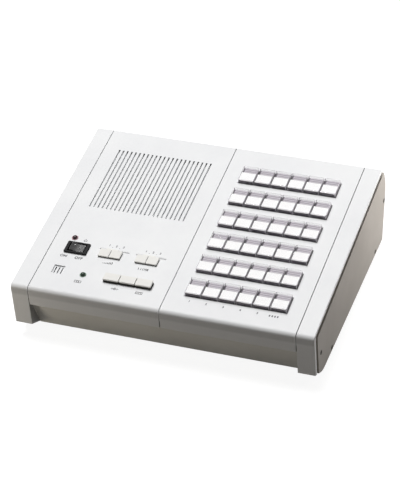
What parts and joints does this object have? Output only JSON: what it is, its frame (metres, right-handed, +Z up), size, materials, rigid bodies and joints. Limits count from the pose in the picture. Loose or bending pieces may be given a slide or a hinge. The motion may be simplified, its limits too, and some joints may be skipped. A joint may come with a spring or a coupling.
{
  "type": "desk intercom master station",
  "caption": "Low sloping desktop intercom station: loudspeaker grille and controls on the left, a grid of clear-capped station keys on the right, thick end caps.",
  "frame": {"origin": "on the table, under the middle of the casing", "axes": "+X to the user's right, +Y to the back, +Z up"},
  "size_m": [0.3, 0.2418, 0.0886],
  "materials": {
    "casing_plastic": "fine satin moulding",
    "side_plate_paint": "satin paint",
    "base_plastic": "fine satin moulding",
    "clear_key": "clear cover over a white card",
    "function_key_plastic": "smooth satin",
    "knob_plastic": "smooth satin",
    "black_gloss": "polished",
    "black_plastic": "moulded",
    "red_lens": "polished lens",
    "green_lens": "polished lens",
    "screw_steel": "blackened",
    "capsule_metal": "bare",
    "speaker_metal": "satin black",
    "board_laminate": "solder mask",
    "foot_rubber": "matt"
  },
  "bodies": {
    "station": {"base_pan": "base_plastic", "left_end_cap": "casing_plastic", "right_end_cap": "casing_plastic", "left_side_plate": "side_plate_paint", "right_side_plate": "side_plate_paint", "control_panel": "casing_plastic", "key_panel": "casing_plastic", "rubber_feet": "foot_rubber", "case_screws": "screw_steel", "key_switches": "black_plastic", "circuit_boards": "board_laminate", "rocker_bezel": "black_plastic", "slide_controls": "black_plastic", "power_lamp": "red_lens", "busy_lamp": "green_lens", "microphone": "capsule_metal", "loudspeaker": "speaker_metal", "rear_sockets": "black_plastic"},
    "key_1_1": {"station_key_1_1": "clear_key"},
    "key_1_2": {"station_key_1_2": "clear_key"},
    "key_1_3": {"station_key_1_3": "clear_key"},
    "key_1_4": {"station_key_1_4": "clear_key"},
    "key_1_5": {"station_key_1_5": "clear_key"},
    "key_1_6": {"station_key_1_6": "clear_key"},
    "key_2_1": {"station_key_2_1": "clear_key"},
    "key_2_2": {"station_key_2_2": "clear_key"},
    "key_2_3": {"station_key_2_3": "clear_key"},
    "key_2_4": {"station_key_2_4": "clear_key"},
    "key_2_5": {"station_key_2_5": "clear_key"},
    "key_2_6": {"station_key_2_6": "clear_key"},
    "key_3_1": {"station_key_3_1": "clear_key"},
    "key_3_2": {"station_key_3_2": "clear_key"},
    "key_3_3": {"station_key_3_3": "clear_key"},
    "key_3_4": {"station_key_3_4": "clear_key"},
    "key_3_5": {"station_key_3_5": "clear_key"},
    "key_3_6": {"station_key_3_6": "clear_key"},
    "key_4_1": {"station_key_4_1": "clear_key"},
    "key_4_2": {"station_key_4_2": "clear_key"},
    "key_4_3": {"station_key_4_3": "clear_key"},
    "key_4_4": {"station_key_4_4": "clear_key"},
    "key_4_5": {"station_key_4_5": "clear_key"},
    "key_4_6": {"station_key_4_6": "clear_key"},
    "key_5_1": {"station_key_5_1": "clear_key"},
    "key_5_2": {"station_key_5_2": "clear_key"},
    "key_5_3": {"station_key_5_3": "clear_key"},
    "key_5_4": {"station_key_5_4": "clear_key"},
    "key_5_5": {"station_key_5_5": "clear_key"},
    "key_5_6": {"station_key_5_6": "clear_key"},
    "key_6_1": {"station_key_6_1": "clear_key"},
    "key_6_2": {"station_key_6_2": "clear_key"},
    "key_6_3": {"station_key_6_3": "clear_key"},
    "key_6_4": {"station_key_6_4": "clear_key"},
    "key_6_5": {"station_key_6_5": "clear_key"},
    "key_6_6": {"station_key_6_6": "clear_key"},
    "bank_key_1": {"function_key_1": "function_key_plastic"},
    "bank_key_2": {"function_key_2": "function_key_plastic"},
    "bank_key_3": {"function_key_3": "function_key_plastic"},
    "rocker": {"power_rocker": "black_gloss"},
    "volume_knob": {"volume_slide_knob": "knob_plastic"},
    "tone_knob": {"tone_slide_knob": "knob_plastic"}
  },
  "joints": [
    {"name": "press_1_1", "type": "slide", "parent": "station", "child": "key_1_1", "axis": [0, 0.1167, -0.9932], "range_m": [0, 0.003], "stiffness_N_per_m": 300, "springref_m": -0.002},
    {"name": "press_1_2", "type": "slide", "parent": "station", "child": "key_1_2", "axis": [0, 0.1167, -0.9932], "range_m": [0, 0.003], "stiffness_N_per_m": 300, "springref_m": -0.002},
    {"name": "press_1_3", "type": "slide", "parent": "station", "child": "key_1_3", "axis": [0, 0.1167, -0.9932], "range_m": [0, 0.003], "stiffness_N_per_m": 300, "springref_m": -0.002},
    {"name": "press_1_4", "type": "slide", "parent": "station", "child": "key_1_4", "axis": [0, 0.1167, -0.9932], "range_m": [0, 0.003], "stiffness_N_per_m": 300, "springref_m": -0.002},
    {"name": "press_1_5", "type": "slide", "parent": "station", "child": "key_1_5", "axis": [0, 0.1167, -0.9932], "range_m": [0, 0.003], "stiffness_N_per_m": 300, "springref_m": -0.002},
    {"name": "press_1_6", "type": "slide", "parent": "station", "child": "key_1_6", "axis": [0, 0.1167, -0.9932], "range_m": [0, 0.003], "stiffness_N_per_m": 300, "springref_m": -0.002},
    {"name": "press_2_1", "type": "slide", "parent": "station", "child": "key_2_1", "axis": [0, 0.1167, -0.9932], "range_m": [0, 0.003], "stiffness_N_per_m": 300, "springref_m": -0.002},
    {"name": "press_2_2", "type": "slide", "parent": "station", "child": "key_2_2", "axis": [0, 0.1167, -0.9932], "range_m": [0, 0.003], "stiffness_N_per_m": 300, "springref_m": -0.002},
    {"name": "press_2_3", "type": "slide", "parent": "station", "child": "key_2_3", "axis": [0, 0.1167, -0.9932], "range_m": [0, 0.003], "stiffness_N_per_m": 300, "springref_m": -0.002},
    {"name": "press_2_4", "type": "slide", "parent": "station", "child": "key_2_4", "axis": [0, 0.1167, -0.9932], "range_m": [0, 0.003], "stiffness_N_per_m": 300, "springref_m": -0.002},
    {"name": "press_2_5", "type": "slide", "parent": "station", "child": "key_2_5", "axis": [0, 0.1167, -0.9932], "range_m": [0, 0.003], "stiffness_N_per_m": 300, "springref_m": -0.002},
    {"name": "press_2_6", "type": "slide", "parent": "station", "child": "key_2_6", "axis": [0, 0.1167, -0.9932], "range_m": [0, 0.003], "stiffness_N_per_m": 300, "springref_m": -0.002},
    {"name": "press_3_1", "type": "slide", "parent": "station", "child": "key_3_1", "axis": [0, 0.1167, -0.9932], "range_m": [0, 0.003], "stiffness_N_per_m": 300, "springref_m": -0.002},
    {"name": "press_3_2", "type": "slide", "parent": "station", "child": "key_3_2", "axis": [0, 0.1167, -0.9932], "range_m": [0, 0.003], "stiffness_N_per_m": 300, "springref_m": -0.002},
    {"name": "press_3_3", "type": "slide", "parent": "station", "child": "key_3_3", "axis": [0, 0.1167, -0.9932], "range_m": [0, 0.003], "stiffness_N_per_m": 300, "springref_m": -0.002},
    {"name": "press_3_4", "type": "slide", "parent": "station", "child": "key_3_4", "axis": [0, 0.1167, -0.9932], "range_m": [0, 0.003], "stiffness_N_per_m": 300, "springref_m": -0.002},
    {"name": "press_3_5", "type": "slide", "parent": "station", "child": "key_3_5", "axis": [0, 0.1167, -0.9932], "range_m": [0, 0.003], "stiffness_N_per_m": 300, "springref_m": -0.002},
    {"name": "press_3_6", "type": "slide", "parent": "station", "child": "key_3_6", "axis": [0, 0.1167, -0.9932], "range_m": [0, 0.003], "stiffness_N_per_m": 300, "springref_m": -0.002},
    {"name": "press_4_1", "type": "slide", "parent": "station", "child": "key_4_1", "axis": [0, 0.1167, -0.9932], "range_m": [0, 0.003], "stiffness_N_per_m": 300, "springref_m": -0.002},
    {"name": "press_4_2", "type": "slide", "parent": "station", "child": "key_4_2", "axis": [0, 0.1167, -0.9932], "range_m": [0, 0.003], "stiffness_N_per_m": 300, "springref_m": -0.002},
    {"name": "press_4_3", "type": "slide", "parent": "station", "child": "key_4_3", "axis": [0, 0.1167, -0.9932], "range_m": [0, 0.003], "stiffness_N_per_m": 300, "springref_m": -0.002},
    {"name": "press_4_4", "type": "slide", "parent": "station", "child": "key_4_4", "axis": [0, 0.1167, -0.9932], "range_m": [0, 0.003], "stiffness_N_per_m": 300, "springref_m": -0.002},
    {"name": "press_4_5", "type": "slide", "parent": "station", "child": "key_4_5", "axis": [0, 0.1167, -0.9932], "range_m": [0, 0.003], "stiffness_N_per_m": 300, "springref_m": -0.002},
    {"name": "press_4_6", "type": "slide", "parent": "station", "child": "key_4_6", "axis": [0, 0.1167, -0.9932], "range_m": [0, 0.003], "stiffness_N_per_m": 300, "springref_m": -0.002},
    {"name": "press_5_1", "type": "slide", "parent": "station", "child": "key_5_1", "axis": [0, 0.1167, -0.9932], "range_m": [0, 0.003], "stiffness_N_per_m": 300, "springref_m": -0.002},
    {"name": "press_5_2", "type": "slide", "parent": "station", "child": "key_5_2", "axis": [0, 0.1167, -0.9932], "range_m": [0, 0.003], "stiffness_N_per_m": 300, "springref_m": -0.002},
    {"name": "press_5_3", "type": "slide", "parent": "station", "child": "key_5_3", "axis": [0, 0.1167, -0.9932], "range_m": [0, 0.003], "stiffness_N_per_m": 300, "springref_m": -0.002},
    {"name": "press_5_4", "type": "slide", "parent": "station", "child": "key_5_4", "axis": [0, 0.1167, -0.9932], "range_m": [0, 0.003], "stiffness_N_per_m": 300, "springref_m": -0.002},
    {"name": "press_5_5", "type": "slide", "parent": "station", "child": "key_5_5", "axis": [0, 0.1167, -0.9932], "range_m": [0, 0.003], "stiffness_N_per_m": 300, "springref_m": -0.002},
    {"name": "press_5_6", "type": "slide", "parent": "station", "child": "key_5_6", "axis": [0, 0.1167, -0.9932], "range_m": [0, 0.003], "stiffness_N_per_m": 300, "springref_m": -0.002},
    {"name": "press_6_1", "type": "slide", "parent": "station", "child": "key_6_1", "axis": [0, 0.1167, -0.9932], "range_m": [0, 0.003], "stiffness_N_per_m": 300, "springref_m": -0.002},
    {"name": "press_6_2", "type": "slide", "parent": "station", "child": "key_6_2", "axis": [0, 0.1167, -0.9932], "range_m": [0, 0.003], "stiffness_N_per_m": 300, "springref_m": -0.002},
    {"name": "press_6_3", "type": "slide", "parent": "station", "child": "key_6_3", "axis": [0, 0.1167, -0.9932], "range_m": [0, 0.003], "stiffness_N_per_m": 300, "springref_m": -0.002},
    {"name": "press_6_4", "type": "slide", "parent": "station", "child": "key_6_4", "axis": [0, 0.1167, -0.9932], "range_m": [0, 0.003], "stiffness_N_per_m": 300, "springref_m": -0.002},
    {"name": "press_6_5", "type": "slide", "parent": "station", "child": "key_6_5", "axis": [0, 0.1167, -0.9932], "range_m": [0, 0.003], "stiffness_N_per_m": 300, "springref_m": -0.002},
    {"name": "press_6_6", "type": "slide", "parent": "station", "child": "key_6_6", "axis": [0, 0.1167, -0.9932], "range_m": [0, 0.003], "stiffness_N_per_m": 300, "springref_m": -0.002},
    {"name": "bank_press_1", "type": "slide", "parent": "station", "child": "bank_key_1", "axis": [0, 0.1167, -0.9932], "range_m": [0, 0.003], "stiffness_N_per_m": 300, "springref_m": -0.002},
    {"name": "bank_press_2", "type": "slide", "parent": "station", "child": "bank_key_2", "axis": [0, 0.1167, -0.9932], "range_m": [0, 0.003], "stiffness_N_per_m": 300, "springref_m": -0.002},
    {"name": "bank_press_3", "type": "slide", "parent": "station", "child": "bank_key_3", "axis": [0, 0.1167, -0.9932], "range_m": [0, 0.003], "stiffness_N_per_m": 300, "springref_m": -0.002},
    {"name": "power_tilt", "type": "hinge", "parent": "station", "child": "rocker", "pos_m": [-0.1049, -0.06086, 0.06545], "axis": [0, -0.9932, -0.1167], "range_deg": [0, 20]},
    {"name": "volume_slide", "type": "slide", "parent": "station", "child": "volume_knob", "axis": [1, 0, 0], "range_m": [-0.0052, 0.0091]},
    {"name": "tone_slide", "type": "slide", "parent": "station", "child": "tone_knob", "axis": [1, 0, 0], "range_m": [-0.0052, 0.0091]}
  ]
}
